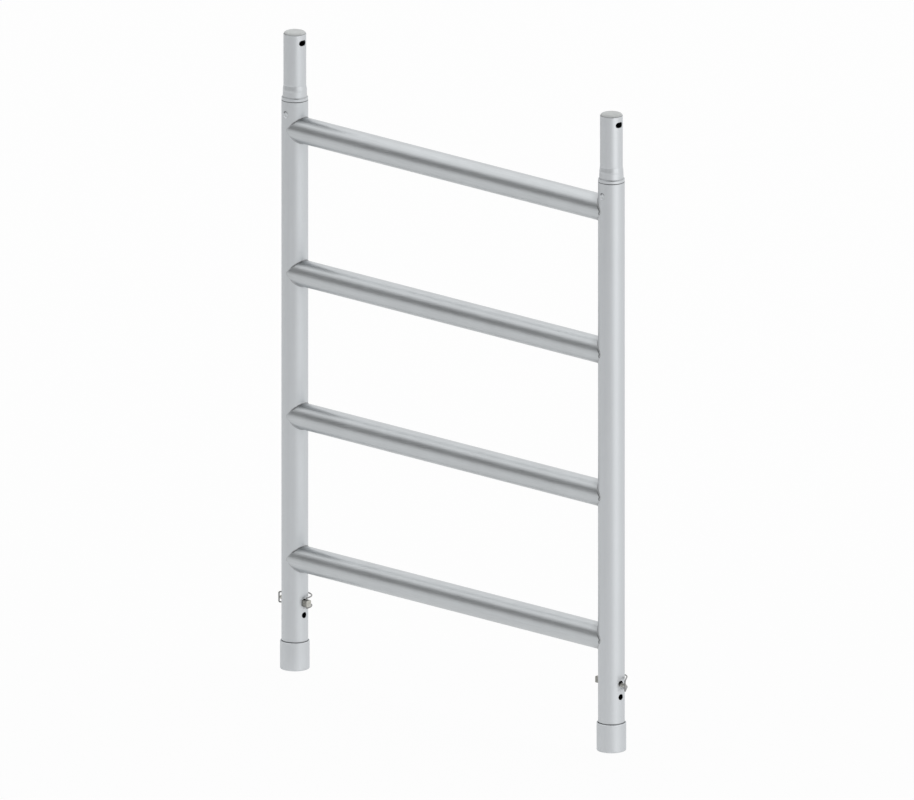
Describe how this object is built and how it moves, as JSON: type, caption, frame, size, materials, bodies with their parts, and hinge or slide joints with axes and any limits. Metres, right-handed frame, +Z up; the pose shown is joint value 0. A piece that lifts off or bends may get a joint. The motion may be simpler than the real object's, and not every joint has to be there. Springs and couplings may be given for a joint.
{
  "type": "scaffold tower frame",
  "caption": "Welded aluminium ladder frame for a mobile scaffold tower: round rungs between tube uprights, stacking spigots, socket feet and parked lock pins with wire bails.",
  "frame": {"origin": "on the floor under the frame, midway between the two uprights", "axes": "+X along the rungs to the right upright, +Y to the side where the wire bails pass, +Z up"},
  "size_m": [0.929, 0.0608, 1.2478],
  "materials": {
    "tube": "matte mill",
    "rung": "brushed along its length",
    "spigot": "matte",
    "cap": "moulded",
    "pin": "zinc plated",
    "wire": "zinc plated"
  },
  "bodies": {
    "frame": {"left_upright": "tube", "left_foot_collar": "tube", "left_spigot": "spigot", "left_spigot_cap": "cap", "left_lock_pin": "pin", "right_upright": "tube", "right_foot_collar": "tube", "right_spigot": "spigot", "right_spigot_cap": "cap", "right_lock_pin": "pin", "rung_1": "rung", "rung_2": "rung", "rung_3": "rung", "rung_4": "rung"},
    "left_bail": {"left_wire_bail": "wire"},
    "right_bail": {"right_wire_bail": "wire"}
  },
  "joints": [
    {"name": "left_bail_swing", "type": "hinge", "parent": "frame", "child": "left_bail", "pos_m": [-0.39305, 0, 0.13235], "axis": [0, 0, -1], "range_deg": [0, 210]},
    {"name": "right_bail_swing", "type": "hinge", "parent": "frame", "child": "right_bail", "pos_m": [0.39305, 0, 0.13235], "axis": [0, 0, 1], "range_deg": [0, 210]}
  ]
}
